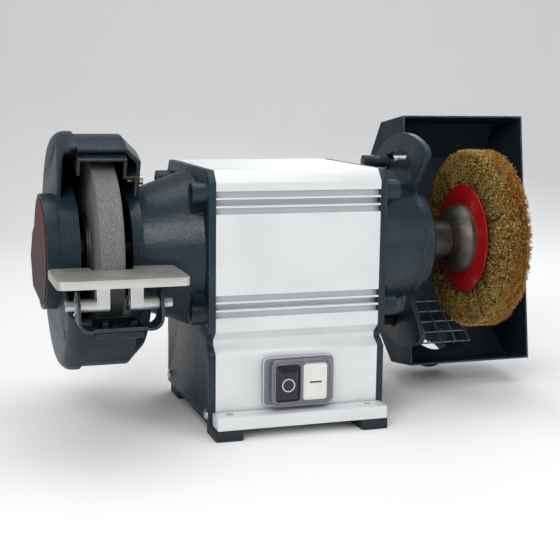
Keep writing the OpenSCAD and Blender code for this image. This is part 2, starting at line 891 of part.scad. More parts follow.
module arrestor_bolt() {
    x = left_nose;
    color("goldenrod") over_wheel() translate([0, arrestor_bolt_y, arrestor_bolt_up]) {
        ring(screw_r - run_gap, 0, x, x + guard_wall + arrestor_t + 5);
        ring(5, 0, x - 5, x);
    }
}

// Side outline of the bracket's ears and web.
module arm_outline() {
    translate([pivot_y, pivot_up]) circle(arm_r);
    translate([web_front, arm_low]) square([2 * arm_r, pivot_up - arm_low]);
    translate([web_front, arm_low]) square([web_back - web_front, arm_t]);
}

module rest_bracket() {
    out = arm_x + arm_t;
    bend = 12;
    color("lightslategray") at_left() difference() {
        intersection() {
            translate([wheel_x, web_back, 0]) rotate([90, 0, 0]) linear_extrude(web_back - web_front) difference() {
                union() {
                    translate([bend - out, arm_low]) square([2 * (out - bend), 60]);
                    translate([-out, arm_low + bend]) square([2 * out, 60]);
                    for (s = [-1, 1]) translate([s * (out - bend), arm_low + bend]) circle(bend);
                }
                translate([bend - out, arm_low + arm_t]) square([2 * (out - bend), 62]);
                translate([-arm_x, arm_low + bend]) square([2 * arm_x, 62]);
                for (s = [-1, 1]) translate([s * (out - bend), arm_low + bend]) circle(bend - arm_t);
            }
            slab(wheel_x - out - 1, wheel_x + out + 1) arm_outline();
        }
        for (x = [wheel_x - out - 1, wheel_x + web_w / 2])
            block([x, pivot_y + arm_r, arm_low - 1], [x + out + 1 - web_w / 2, web_back + 1, pivot_up]);
        block([wheel_x - web_notch / 2, web_front - 1, arm_low - 1], [wheel_x + web_notch / 2, pivot_y - 7, pivot_up]);
        slab(wheel_x - out - 1, wheel_x + out + 1) translate([pivot_y, pivot_up]) circle(rest_bolt_r);
        for (x = [-1, 1]) translate([wheel_x + x * pad_bolt_x, pivot_y + 2, arm_low - 1]) linear_extrude(arm_t + 2) {
            circle(pad_bolt_r + fit_gap);
            translate([0, rest_travel]) circle(pad_bolt_r + fit_gap);
            translate([-pad_bolt_r - fit_gap, 0]) square([2 * (pad_bolt_r + fit_gap), rest_travel]);
        }
    }
}

module bracket_bolts() {
    color("silver") at_left() for (x = [-1, 1])
        translate([wheel_x + x * pad_bolt_x, pivot_y + 2, arm_low + arm_t + part_gap]) {
            translate([0, 0, -arm_t - pad_t - part_gap]) cylinder(r = pad_bolt_r, h = arm_t + pad_t + part_gap);
            cylinder(r = 7.2, h = 1.4);
            translate([0, 0, 1.4]) cylinder(r = 5.6, h = 4.5, $fn = 6);
        }
}

module tool_rest() {
    under = rest_top - rest_t;
    color("lightgray") at_left() translate([wheel_x, 0, 0]) difference() {
        union() {
            translate([0, rest_front + rest_d / 2, under]) linear_extrude(rest_t) difference() {
                rounded(rest_w, rest_d, 8);
                translate([-rest_notch / 2, rest_notch_y - rest_front - rest_d / 2]) square([rest_notch, rest_d]);
            }
            for (s = [-1, 1]) translate([s * (leg_in + leg_w / 2), pivot_y, 0]) {
                translate([-leg_w / 2, -rest_boss_r, pivot_up]) cube([leg_w, 2 * rest_boss_r, under - pivot_up + 1]);
                translate([0, 0, pivot_up]) rotate([0, 90, 0]) cylinder(r = rest_boss_r, h = leg_w, center = true);
                translate([s * (rest_boss_end - leg_in - leg_w / 2) / 2, 0, pivot_up]) rotate([0, 90, 0])
                    cylinder(r = rest_boss_r, h = rest_boss_end - leg_in - leg_w / 2, center = true);
            }
        }
        translate([0, pivot_y, pivot_up]) rotate([0, 90, 0])
            cylinder(r = rest_bolt_r + run_gap, h = 3 * rest_boss_end, center = true);
    }
}

module rest_bolts() {
    out = arm_x + arm_t;
    color("silver") at_left() for (s = [0, 1]) translate([wheel_x, pivot_y, pivot_up]) mirror([s, 0, 0]) {
        ring(rest_bolt_r, 0, leg_in + 2, out);
        ring(7.5, 0, out, out + 1.2);
        slab(out + 1.2, out + 10) difference() {
            circle(5.2);
            circle(2.6, $fn = 6);
        }
    }
}

// A curved slot about the spindle, from angle a0 to a1.
module curved_slot(r, half_w, a0, a1) {
    for (a = [a0, a1]) translate(around(r, a)) circle(half_w - run_gap);
    intersection() {
        difference() {
            circle(r + half_w);
            circle(r - half_w);
        }
        polygon([[0, 0], around(2 * r, a0), around(2 * r, a1)]);
    }
}

// One ear of the bracket, pointing up, whose back edge lies at an angle.
module lobe(back) {
    intersection() {
        circle(lobe_r);
        polygon([
            [-8, 40], [-17, 50], [-57.5, 96], [-61, 101.5], [-60.5, 106], [-56, 111], [-50, 150],
            around(2 * lobe_r, back), around(58, back + 18), [0, 30]
        ]);
    }
}

module guard_bracket() {
    hole = clamp_bolt_r + 2 * fit_gap;
    upper = clamp_back + box_lean;
    lower = 180 - clamp_back + box_lean;
    color("darkslategray") at_shaft() slab(right_nose, right_nose + bracket_t) difference() {
        union() {
            circle(cone_small_r);
            lobe(upper + 14);
            mirror([0, 1]) lobe(180 - lower + box_swing + 14);
        }
        circle(sleeve_bore);
        curved_slot(clamp_orbit, hole, upper - box_swing, upper);
        curved_slot(clamp_orbit, hole, lower - box_swing, lower);
        for (a = [60:120:300]) translate(around(nose_screw_r, a)) circle(screw_r);
    }
}

// Sets its children in the frame of the sheet guard, which leans back.
module in_box() {
    at_shaft() rotate([-box_lean, 0, 0]) children();
}

// Side outline of the sheet guard, drawn in by an inset except at its open front.
module box_outline(inset) {
    mitre = inset * (sqrt(2) - 1);
    polygon([
        [box_front - (inset > 0 ? 1 : 0), box_top - inset], [box_back - box_top_cut - mitre, box_top - inset],
        [box_back - inset, box_top - box_top_cut - mitre], [box_back - inset, box_low + box_low_cut + mitre],
        [box_back - box_low_cut - mitre, box_low + inset], [box_front - (inset > 0 ? 1 : 0), box_low + inset]
    ]);
}

// Sets its children square to the lower rear slope of the guard, pointing outward.
module on_slope() {
    in_box() translate([spigot_x, box_back - box_low_cut / 2, box_low + box_low_cut / 2])
        rotate([-135, 0, 0]) children();
}

module brush_guard() {
    color("darkslategray") difference() {
        in_box() union() {
            slab(box_x, box_end) difference() {
                box_outline(0);
                box_outline(sheet);
            }
            for (x = [box_x, box_end - sheet]) slab(x, x + sheet) box_outline(0);
            slab(box_x, box_x + sheet) for (s = [-1, 1]) {
                translate([clamp_y, s * clamp_up]) circle(13);
                translate([clamp_y, s * clamp_up - 13]) square([20, 26]);
            }
        }
        in_box() slab(box_x - 1, box_x + sheet + 1) for (s = [-1, 1])
            translate([clamp_y, s * clamp_up]) circle(clamp_bolt_r);
        on_slope() cylinder(r = spigot_r - spigot_wall - 1, h = 8, center = true);
    }
}

module extraction_spigot() {
    color("darkslategray") on_slope() difference() {
        cylinder(r = spigot_r, h = spigot_l);
        translate([0, 0, -1]) cylinder(r = spigot_r - spigot_wall, h = spigot_l + 2);
    }
}

// Welded wire mesh that stands off the slope, over the way to the spigot.
module spark_grille() {
    wide = 96;
    long = 71;
    wire = 1;
    stand = 20;
    color("silver") on_slope() translate([-9, -10, -stand]) {
        for (i = [0:5]) translate([wide * (i / 5 - 0.5), 0, 0]) rotate([90, 0, 0])
            cylinder(r = wire, h = long + 2, center = true);
        for (i = [0:4]) translate([0, long * (i / 4 - 0.5), 0.6]) rotate([0, 90, 0])
            cylinder(r = wire, h = wide + 2, center = true);
        for (x = [-1, 1], y = [-16, 26]) translate([x * wide / 2, y, 0]) cylinder(r = wire, h = stand - sheet);
    }
}

module guard_clamp_bolts() {
    head = right_nose - part_gap;
    color([0.1, 0.1, 0.11]) in_box() for (s = [-1, 1]) translate([0, clamp_y, s * clamp_up]) {
        ring(clamp_bolt_r, 0, head - 1, box_x + sheet);
        ring(9, 0, head - 2, head);
        ring(6.5, 0, head - 17, head - 2);
        ring(8.5, 0, head - 30, head - 17);
        nut(box_x + sheet, 6, 9, 0);
    }
}

module guard_spacers() {
    color("silver") in_box() for (s = [-1, 1]) translate([0, clamp_y, s * clamp_up])
        ring(9, clamp_bolt_r, right_nose + bracket_t + part_gap, box_x);
}

motor_case();
left_bell();
right_bell();
front_bar();
rear_rail();
base_plate();
rubber_feet();
bell_screws();
base_screws();
stator_core();
stator_windings();
capacitor();
capacitor_clip();
bearing_outer_rings();
wave_washer();
bearing_cap();
cable_gland();
terminal_block();
switch_base();
switch_body();
switch_boot();
off_button();
on_button();
shaft();
rotor_core();
rotor_end_rings();
bearing_inner_rings();
bearing_balls();
inner_wheel_flange();
outer_wheel_flange();
wheel_blotters();
wheel_bush();
grinding_wheel();
wheel_nut();
spacer_tube();
inner_brush_collar();
outer_brush_collar();
brush_spool();
brush_wires();
brush_nut();
wheel_guard();
guard_cover();
cover_badge();
guard_screws();
cover_screws();
spark_arrestor();
arrestor_bolt();
rest_bracket();
bracket_bolts();
tool_rest();
rest_bolts();
guard_bracket();
cap_screws();
brush_guard();
extraction_spigot();
spark_grille();
guard_clamp_bolts();
guard_spacers();
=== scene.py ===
import json
import math

import bmesh
import bpy
import numpy as np
from mathutils import Matrix, Vector

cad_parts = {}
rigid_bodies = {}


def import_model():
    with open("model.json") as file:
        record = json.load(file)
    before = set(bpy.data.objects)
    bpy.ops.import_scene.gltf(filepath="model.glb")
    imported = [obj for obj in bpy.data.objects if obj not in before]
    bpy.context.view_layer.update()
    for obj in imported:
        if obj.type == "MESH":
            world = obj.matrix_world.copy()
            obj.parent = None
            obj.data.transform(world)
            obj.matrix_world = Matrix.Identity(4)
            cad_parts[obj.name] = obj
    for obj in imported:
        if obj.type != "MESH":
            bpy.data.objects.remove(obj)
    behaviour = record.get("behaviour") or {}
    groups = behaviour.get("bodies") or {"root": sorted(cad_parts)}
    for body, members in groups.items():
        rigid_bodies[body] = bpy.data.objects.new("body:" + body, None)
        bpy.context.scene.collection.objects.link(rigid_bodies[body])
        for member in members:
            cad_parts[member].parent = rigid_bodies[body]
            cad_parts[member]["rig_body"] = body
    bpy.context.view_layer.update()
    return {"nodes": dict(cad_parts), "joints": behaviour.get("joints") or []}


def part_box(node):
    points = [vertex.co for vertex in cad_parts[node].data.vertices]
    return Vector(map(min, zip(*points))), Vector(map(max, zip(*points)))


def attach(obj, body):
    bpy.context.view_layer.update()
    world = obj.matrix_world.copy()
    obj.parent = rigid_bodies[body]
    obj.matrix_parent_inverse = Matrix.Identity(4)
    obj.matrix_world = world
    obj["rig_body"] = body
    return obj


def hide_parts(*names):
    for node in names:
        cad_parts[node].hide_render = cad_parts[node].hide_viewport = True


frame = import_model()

# ---------------------------------------------------------------------------
# Viewpoint, light and floor. The machine stands on a pale, plain surface and is
# lit by one big soft box from the front left, a weaker one from the right and
# one overhead, so that the castings show soft streaks and the case stays bright.

MM = 0.001


def colour(hex_value, alpha=1.0):
    """An sRGB hex colour, such as "2f3d4b", as linear numbers."""
    parts = [int(hex_value[i:i + 2], 16) / 255 for i in (0, 2, 4)]
    return [c / 12.92 if c <= 0.04045 else ((c + 0.055) / 1.055) ** 2.4 for c in parts] + [alpha]


def add(tree, kind, inputs=None, stops=(), **settings):
    """One node: its settings, a ramp's stops, and its inputs as values or as the sockets that feed them."""
    made = tree.nodes.new(kind)
    for name, value in settings.items():
        setattr(made, name, value)
    for i, (place, tone) in enumerate(stops):
        stop = made.color_ramp.elements[i] if i < 2 else made.color_ramp.elements.new(place)
        stop.position = place
        stop.color = colour(tone)
    for name, value in (inputs or {}).items():
        if isinstance(value, bpy.types.NodeSocket):
            tree.links.new(value, made.inputs[name])
        else:
            made.inputs[name].default_value = value
    return made.outputs


spindle = Vector((0, frame["joints"][0]["pos_m"][1], frame["joints"][0]["pos_m"][2]))

view_aim = Vector((10.5 * MM, spindle.y, 145.4 * MM))
view_distance = 1267.3 * MM
view_turn = math.radians(18.19)
view_drop = math.radians(9.59)
view_roll = math.radians(0.72)
ahead = Vector((
    math.sin(view_turn) * math.cos(view_drop),
    math.cos(view_turn) * math.cos(view_drop),
    -math.sin(view_drop),
))
level = Vector((math.cos(view_turn), -math.sin(view_turn), 0))
upright = level.cross(ahead)
side = level * math.cos(view_roll) + upright * math.sin(view_roll)
over = upright * math.cos(view_roll) - level * math.sin(view_roll)
camera_data = bpy.data.cameras.new("camera")
camera_data.lens = 72.03
camera_data.sensor_width = 36
camera = bpy.data.objects.new("camera", camera_data)
camera.matrix_world = Matrix((side, over, -ahead)).transposed().to_4x4()
camera.location = view_aim - ahead * view_distance
bpy.context.scene.collection.objects.link(camera)
bpy.context.scene.camera = camera

for name, place, width, height, power, tint in [
    ("key_box", (-1.1, -1.5, 1.35), 1.3, 1.0, 25, "fffcf8"),
    ("fill_box", (1.6, -1.2, 0.8), 0.9, 1.2, 6, "eef4ff"),
    ("top_box", (0.1, 0.1, 1.7), 1.6, 1.0, 11, "ffffff"),
    ("rim_box", (0.9, 1.3, 1.0), 1.0, 0.6, 6, "ffffff"),
]:
    lamp = bpy.data.lights.new(name, "AREA")
    lamp.shape = "RECTANGLE"
    lamp.size = width
    lamp.size_y = height
    lamp.energy = power
    lamp.color = colour(tint)[:3]
    box = bpy.data.objects.new(name, lamp)
    box.location = place
    box.rotation_euler = (view_aim - Vector(place)).to_track_quat("-Z", "Y").to_euler()
    bpy.context.scene.collection.objects.link(box)

world = bpy.data.worlds.new("studio")
world.use_nodes = True
world.node_tree.nodes["Background"].inputs["Color"].default_value = colour("f3f5f7")
world.node_tree.nodes["Background"].inputs["Strength"].default_value = 0.44
bpy.context.scene.world = world
bpy.context.scene.view_settings.view_transform = "Standard"


def spots(tree, size, detail=2.0, stretch=(1, 1, 1), rough=0.5):
    """A field of spots about size millimetres wide, on the object's own coordinates."""
    place = add(tree, "ShaderNodeTexCoord")["Object"]
    stretched = add(tree, "ShaderNodeMapping", {"Vector": place, "Scale": stretch})["Vector"]
    return add(tree, "ShaderNodeTexNoise", {
        "Vector": stretched, "Scale": 1 / (size * MM), "Detail": detail, "Roughness": rough,
    })["Fac"]


def edges(tree, width):
    """1 along sharp edges, for about width millimetres, and 0 on flat ground."""
    soft = add(tree, "ShaderNodeBevel", {"Radius": width * MM}, samples=6)["Normal"]
    true = add(tree, "ShaderNodeNewGeometry")["Normal"]
    near = add(tree, "ShaderNodeVectorMath", {0: soft, 1: true}, operation="DOT_PRODUCT")["Value"]
    return add(tree, "ShaderNodeMapRange", {
        "Value": near, "From Min": 0.995, "From Max": 0.93, "To Min": 0, "To Max": 1})["Result"]


def surface(name, field, stops, gloss, relief=(), metal=0.0):
    """A material with its colour, gloss, relief and share of metal.

    field(tree) gives what the colour stops follow. gloss is one roughness, or a field with its
    roughness at 0.3 and at 0.7. relief lists fields and their depths in millimetres, lowest first.
    """
    made = bpy.data.materials.new(name)
    made.use_nodes = True
    tree = made.node_tree
    shader = tree.nodes["Principled BSDF"].inputs
    tone = add(tree, "ShaderNodeValToRGB", {"Fac": field(tree)}, stops)["Color"]
    tree.links.new(tone, shader["Base Color"])
    if isinstance(gloss, tuple):
        follow, low, high = gloss
        sheen = add(tree, "ShaderNodeMapRange", {
            "Value": follow(tree), "From Min": 0.3, "From Max": 0.7, "To Min": low, "To Max": high})
        tree.links.new(sheen["Result"], shader["Roughness"])
    else:
        shader["Roughness"].default_value = gloss
    under = {}
    for height, depth in relief:
        raised = add(tree, "ShaderNodeBump", {
            "Height": height(tree), "Strength": 1.0, "Distance": depth * MM, **under})["Normal"]
        under = {"Normal": raised}
    if relief:
        tree.links.new(raised, shader["Normal"])
    shader["Metallic"].default_value = metal
    return made, tree, shader


def lay_tone(tree, shader, share, reach, tone):
    """Lays a colour over the base colour: share runs from reach[0] to reach[1] as the cover does from
    reach[2] to reach[3]."""
    low, high, least, most = reach
    cover = add(tree, "ShaderNodeMapRange", {
        "Value": share, "From Min": low, "From Max": high, "To Min": least, "To Max": most})["Result"]
    ground = shader["Base Color"].links[0].from_socket
    over = add(tree, "ShaderNodeMix", {0: cover, 6: ground, 7: colour(tone)}, data_type="RGBA")[2]
    tree.links.new(over, shader["Base Color"])


def wear_edges(tree, shader, width, size, rough, reach, tone):
    """Worn edges: width millimetres wide, broken up by spots of the given size."""
    low, high, most = reach
    rubbed = add(tree, "ShaderNodeMapRange", {
        "Value": spots(tree, size, 3, rough=rough), "From Min": low, "From Max": high,
        "To Min": 0, "To Max": most})["Result"]
    worn = add(tree, "ShaderNodeMath", {0: edges(tree, width), 1: rubbed}, operation="MULTIPLY")[0]
    lay_tone(tree, shader, worn, (0, 1, 0, 1), tone)


def set_finish(node_names, finish):
    """Gives CAD nodes their finish."""
    for name in node_names:
        mesh = frame["nodes"][name].data
        mesh.materials.clear()
        mesh.materials.append(finish)


def new_piece(name, mesh, body, finish=None, stands_for=()):
    """A piece in place, riding on its body and the CAD nodes that it stands for."""
    piece = bpy.data.objects.new(name, mesh)
    bpy.context.scene.collection.objects.link(piece)
    if finish:
        mesh.materials.clear()
        mesh.materials.append(finish)
    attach(piece, body)
    if stands_for:
        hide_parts(*stands_for)
    return piece


def eased(node_name, radius, finish, steps=2, flat=35):
    """A copy of a CAD node whose sharp edges are rounded, as they come out of the mould or the tumbler."""
    mesh = frame["nodes"][node_name].data.copy()
    work = bmesh.new()
    work.from_mesh(mesh)
    bmesh.ops.remove_doubles(work, verts=work.verts, dist=1e-6)
    bmesh.ops.dissolve_limit(work, angle_limit=math.radians(1), verts=work.verts, edges=work.edges)
    work.to_mesh(mesh)
    work.free()
    mesh.name = node_name + "_eased"
    holder = bpy.data.objects.new("holder", mesh)
    bpy.context.scene.collection.objects.link(holder)
    bevel = holder.modifiers.new("bevel", "BEVEL")
    bevel.width = radius * MM
    bevel.segments = steps
    bevel.limit_method = "ANGLE"
    bevel.angle_limit = math.radians(flat)
    bevel.use_clamp_overlap = True
    bevel.harden_normals = False
    weighted = holder.modifiers.new("weighted", "WEIGHTED_NORMAL")
    weighted.keep_sharp = True
    sight = bpy.context.evaluated_depsgraph_get()
    sight.update()
    done = bpy.data.meshes.new_from_object(holder.evaluated_get(sight))
    bpy.data.objects.remove(holder)
    done.name = node_name + "_eased"
    done.shade_smooth()
    done.set_sharp_from_angle(angle=math.radians(flat))
    body = frame["nodes"][node_name]["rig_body"]
    return new_piece(node_name + "_eased", done, body, finish, (node_name,))


floor_mesh = bpy.data.meshes.new("floor")
sweep = [(-4.0, 0.0), (1.4, 0.0)]
sweep += [(1.4 + 1.2 * math.sin(a), 1.2 - 1.2 * math.cos(a)) for a in np.linspace(0.1, math.pi / 2, 16)]
sweep += [(2.6, 4.0)]
edge = [(x, depth, height) for depth, height in sweep for x in (-6, 6)]
turned = [Matrix.Rotation(-view_turn, 3, "Z") @ Vector(place) for place in edge]
strips = [(2 * i, 2 * i + 1, 2 * i + 3, 2 * i + 2) for i in range(len(sweep) - 1)]
floor_mesh.from_pydata(turned, [], strips)
floor_mesh.shade_smooth()
floor = bpy.data.objects.new("floor", floor_mesh)
bpy.context.scene.collection.objects.link(floor)
paper, tree, shader = surface(
    "studio_paper", lambda tree: spots(tree, 0.6, 3), [(0.3, "f6f6f6"), (0.7, "fafafa")], 0.9)
floor_mesh.materials.append(paper)

# ---------------------------------------------------------------------------
# Motor case: one aluminium extrusion, matt anodised. The die leaves faint lines
# along it, and its sawn ends sit inside the end plates of the two bells.


def die_lines(tree):
    """The faint lines that the die leaves along the extrusion."""
    return spots(tree, 0.5, 2, (0.004, 1, 1))


anodised, tree, shader = surface(
    "matt_anodised_aluminium", lambda tree: spots(tree, 60), [(0.35, "dfe2e2"), (0.65, "e6e9e9")],
    (die_lines, 0.44, 0.56), [(die_lines, 0.02), (lambda tree: spots(tree, 0.25, 3), 0.006)], 0.4)
lay_tone(tree, shader, die_lines(tree), (0.4, 0.7, 0, 0.16), "ccd1d2")
# Painted shade: an ambient occlusion mask darkens the colour in the grooves and other hollows of the case.
hollow_painted_shade = add(tree, "ShaderNodeAmbientOcclusion", {"Distance": 7 * MM}, samples=6)["AO"]
lay_tone(tree, shader, hollow_painted_shade, (0.35, 0.8, 0.6, 0), "6d7889")
eased("motor_case", 0.5, anodised, 2, 25)
eased("front_bar", 0.9, anodised, 2, 40)
set_finish(["rear_rail"], anodised)

# ---------------------------------------------------------------------------
# Bells, bearing cap, wheel guard with its cover, and the guard's bracket: iron
# and aluminium castings under thick dark enamel, which dries to an orange peel.


def peel(tree):
    """The orange peel that thick enamel dries to."""
    return spots(tree, 2.4, 1.6)


enamel, tree, shader = surface(
    "orange_peel_enamel", lambda tree: spots(tree, 34, 3), [(0.3, "16242d"), (0.7, "1e303a")],
    (peel, 0.26, 0.4), [(lambda tree: spots(tree, 9), 0.2), (peel, 0.22)])
wear_edges(tree, shader, 1.3, 3, 0.5, (0.53, 0.66, 0.8), "6c7c89")


def dull_at_a_slant(tree, shader, sheen):
    """Rough paint shines less where it is seen at a slant, as its bumps hide one another."""
    slant = add(tree, "ShaderNodeLayerWeight", {"Blend": 0.5})["Facing"]
    level = add(tree, "ShaderNodeMapRange", {
        "Value": slant, "From Min": 0.4, "From Max": 0.72, "To Min": sheen, "To Max": 0.04})["Result"]
    tree.links.new(level, shader["Specular IOR Level"])


dull_at_a_slant(tree, shader, 0.34)
for name, radius in [
    ("left_bell", 1.2), ("right_bell", 1.2), ("bearing_cap", 1.0), ("wheel_guard", 0.8),
    ("guard_cover", 1.2), ("guard_bracket", 0.8),
]:
    eased(name, radius, enamel)

# ---------------------------------------------------------------------------
# Badge on the cover's hub: a plain film. Its colour is painted by height, nearly
# plum at the foot as painted shade and red at the head as painted light.


def badge_painted_light_height(tree):
    """0 at the badge's foot and 1 at its head, for the painted shade and light."""
    place = add(tree, "ShaderNodeTexCoord")["Object"]
    height = add(tree, "ShaderNodeSeparateXYZ", {"Vector": place})["Z"]
    return add(tree, "ShaderNodeMapRange", {
        "Value": height, "From Min": spindle.z - 50 * MM, "From Max": spindle.z + 50 * MM,
        "To Min": 0, "To Max": 1})["Result"]


# The film's colour is painted: darker at its foot for painted shade, redder at its head for painted light.
film, tree, shader = surface(
    "red_vinyl_film", badge_painted_light_height, [(0.1, "1e0912"), (0.95, "560b16")],
    0.48, [(lambda tree: spots(tree, 0.8), 0.02)])
shader["Specular IOR Level"].default_value = 0.08
set_finish(["cover_badge"], film)

# ---------------------------------------------------------------------------
# Sheet guard of the wire wheel, its spigot and the bottom plate: folded steel
# with a thinner, satin coat that is chipped along its cut edges.


def fine_peel(tree):
    """The fine peel of a thin, sprayed coat."""
    return spots(tree, 0.9)


satin, tree, shader = surface(
    "satin_enamel_on_sheet", lambda tree: spots(tree, 45, 3), [(0.3, "121d26"), (0.7, "192832")],
    (fine_peel, 0.36, 0.5), [(fine_peel, 0.07)])
wear_edges(tree, shader, 1.6, 2.2, 0.65, (0.42, 0.58, 1), "93a0aa")
dull_at_a_slant(tree, shader, 0.3)
eased("brush_guard", 0.5, satin)
set_finish(["extraction_spigot", "base_plate"], satin)

# ---------------------------------------------------------------------------
# Tool rest: an aluminium casting, milled on top and tumbled, with a warm cast
# to its matt faces. It turns on two bolts in the bracket.


def mill_marks(tree):
    """The marks of the cutter, across the plate."""
    return spots(tree, 0.7, 2, (1, 0.02, 1))


milled, tree, shader = surface(
    "milled_cast_aluminium", lambda tree: spots(tree, 25, 3), [(0.3, "a8a69f"), (0.7, "bab8b1")],
    (mill_marks, 0.36, 0.5), [(mill_marks, 0.02), (lambda tree: spots(tree, 0.5, 3), 0.02)], 0.85)
place = add(tree, "ShaderNodeTexCoord")["Object"]
height = add(tree, "ShaderNodeSeparateXYZ", {"Vector": place})["Z"]
plate_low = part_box("tool_rest")[1].z - 9 * MM
lay_tone(tree, shader, height, (plate_low - 2 * MM, plate_low, 1, 0), "b3b7ba")
# Painted light: faces that turn towards the front are lightened in the colour.
facing = add(tree, "ShaderNodeNewGeometry")["Normal"]
front_painted_light = add(tree, "ShaderNodeSeparateXYZ", {"Vector": facing})["Y"]
lay_tone(tree, shader, front_painted_light, (-0.5, -0.9, 0, 0.6), "dcdedb")
# Painted highlight: the edges are lightened in the colour.
lay_tone(tree, shader, edges(tree, 1.0), (0, 1, 0, 1), "e2e3e0")
eased("tool_rest", 1.0, milled, 3)

# ---------------------------------------------------------------------------
# Bracket of the tool rest, spark arrestor and capacitor clip: steel sheet with
# a dark phosphate coat. Its sheared edges are bare, and a painted highlight lightens them.

phosphate, tree, shader = surface(
    "phosphated_steel_sheet", lambda tree: spots(tree, 12, 4), [(0.3, "2c343d"), (0.7, "414b55")],
    (lambda tree: spots(tree, 3, 3), 0.32, 0.5), [(lambda tree: spots(tree, 0.4), 0.012)], 0.8)
# Painted highlight: the sheared edges are lightened in the colour, standing for bare steel that catches the
# light.
lay_tone(tree, shader, edges(tree, 0.5), (0, 1, 0, 1), "99a1a7")
eased("rest_bracket", 0.35, phosphate)
set_finish(["spark_arrestor", "capacitor_clip"], phosphate)

# ---------------------------------------------------------------------------
# Rubber feet: moulded, slightly dusty blocks, one under each bench bolt hole.


def dust(tree):
    """Dust that has settled in patches."""
    return spots(tree, 8, 4)


rubber, tree, shader = surface(
    "moulded_rubber", dust, [(0.4, "121a21"), (0.75, "212b34")],
    (dust, 0.62, 0.82), [(lambda tree: spots(tree, 0.5), 0.03)])
eased("rubber_feet", 1.2, rubber)

# ---------------------------------------------------------------------------
# Fasteners: black-oxide socket screws in the castings, bright zinc on the nuts
# and bolts that are turned often, yellow zinc on the spark arrestor's bolt.


def stain(tree):
    """The clouds of a plating bath."""
    return spots(tree, 2.5, 4)


for name, dark, light, rough, metal, nodes in [
    ("black_oxide_steel", "15171a", "2a2d31", 0.38, 0.9, [
        "bell_screws", "guard_screws", "cap_screws", "bracket_bolts"]),
    ("bright_zinc_plate", "a3a4a2", "cfd1d0", 0.25, 1.0, [
        "base_screws", "cover_screws", "rest_bolts", "wheel_nut", "brush_nut", "guard_spacers"]),
    ("yellow_zinc_plate", "a79a80", "d3c9b0", 0.28, 1.0, ["arrestor_bolt"]),
    ("lamination_steel", "4d5157", "6b7077", 0.42, 1.0, ["stator_core", "rotor_core"]),
    ("drawn_aluminium", "b4b6b8", "d0d2d3", 0.34, 1.0, ["rotor_end_rings", "capacitor"]),
    ("ground_bearing_steel", "b0b3b7", "d5d8db", 0.14, 1.0, [
        "shaft", "bearing_outer_rings", "bearing_inner_rings", "bearing_balls", "wave_washer"]),
]:
    grain = 0.5 if name == "lamination_steel" else 0.3
    plate, tree, shader = surface(
        name, stain, [(0.35, dark), (0.65, light)], (stain, rough - 0.06, rough + 0.1),
        [(lambda tree: spots(tree, grain, 2, (1, 0.03, 0.03)), 0.012)], metal)
    set_finish(nodes, plate)

# ---------------------------------------------------------------------------
# Turned steel: the flanges, the spacer tube and the wire wheel's two collars,
# which the lathe leaves with fine rings about the spindle.


def lathe_rings(tree):
    """Rings about the spindle, 0.6 mm apart so that they show."""
    place = add(tree, "ShaderNodeTexCoord")["Object"]
    centred = add(tree, "ShaderNodeVectorMath", {0: place, 1: spindle}, operation="SUBTRACT")["Vector"]
    part = add(tree, "ShaderNodeSeparateXYZ", {"Vector": centred})
    across = add(tree, "ShaderNodeCombineXYZ", {"X": part["Y"], "Y": part["Z"]})["Vector"]
    radius = add(tree, "ShaderNodeVectorMath", {0: across}, operation="LENGTH")["Value"]
    track = add(tree, "ShaderNodeCombineXYZ", {"X": radius, "Y": part["X"]})["Vector"]
    return add(tree, "ShaderNodeTexNoise", {"Vector": track, "Scale": 1 / (0.625 * MM), "Detail": 2.0})["Fac"]


def turned_steel(name, dark, light, rough):
    """Turned steel, with a painted highlight along its edges."""
    steel, tree, shader = surface(
        name, lambda tree: spots(tree, 14, 3), [(0.3, dark), (0.7, light)],
        (lathe_rings, rough - 0.07, rough + 0.1), [(lathe_rings, 0.02)], 1.0)
    # Painted highlight: the edges are lightened in the colour.
    lay_tone(tree, shader, edges(tree, 0.8), (0, 1, 0, 1), "d9d8d4")
    return steel


oiled = turned_steel("oiled_turned_steel", "4a4644", "605b58", 0.36)
set_finish(["inner_wheel_flange", "outer_wheel_flange"], oiled)
eased("spacer_tube", 0.6, oiled)
collar = turned_steel("bare_turned_steel", "504e49", "69665f", 0.46)
eased("inner_brush_collar", 0.8, collar, 3, 20)
eased("outer_brush_collar", 0.8, collar, 3, 20)

# ---------------------------------------------------------------------------
# Grinding wheel: grey aluminium oxide grit, fired in a glassy bond. The grit is
# about 0.7 mm; its rim is worn open by use and its sides are smoother.

wheel_low, wheel_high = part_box("grinding_wheel")
wheel_r = (wheel_high.z - wheel_low.z) / 2
bore_r = 16 * MM
grit = 0.35 * MM


def revolve(name, profile, turns, rough=0.0, seed=1):
    """A closed ring about the spindle from a profile of X and radius, with a rough skin."""
    chance = np.random.default_rng(seed)
    angles = np.linspace(0, 2 * math.pi, turns, endpoint=False)
    x, r = np.array(profile).T
    lift = chance.uniform(-rough, rough, (turns, len(profile)))
    ring_r = r[None, :] + lift
    ring_x = x[None, :] + chance.uniform(-rough, rough, (turns, len(profile))) * 0.6
    places = np.stack([
        ring_x,
        spindle.y + ring_r * np.sin(angles)[:, None],
        spindle.z + ring_r * np.cos(angles)[:, None],
    ], 2).reshape(-1, 3)
    count = len(profile)
    faces = []
    for i in range(turns):
        here, there = i * count, (i + 1) % turns * count
        for j in range(count):
            k = (j + 1) % count
            faces.append((here + j, here + k, there + k, there + j))
    mesh = bpy.data.meshes.new(name)
    mesh.from_pydata(places.tolist(), [], faces)
    work = bmesh.new()
    work.from_mesh(mesh)
    bmesh.ops.recalc_face_normals(work, faces=work.faces)
    work.to_mesh(mesh)
    work.free()
    mesh.shade_smooth()
    return mesh


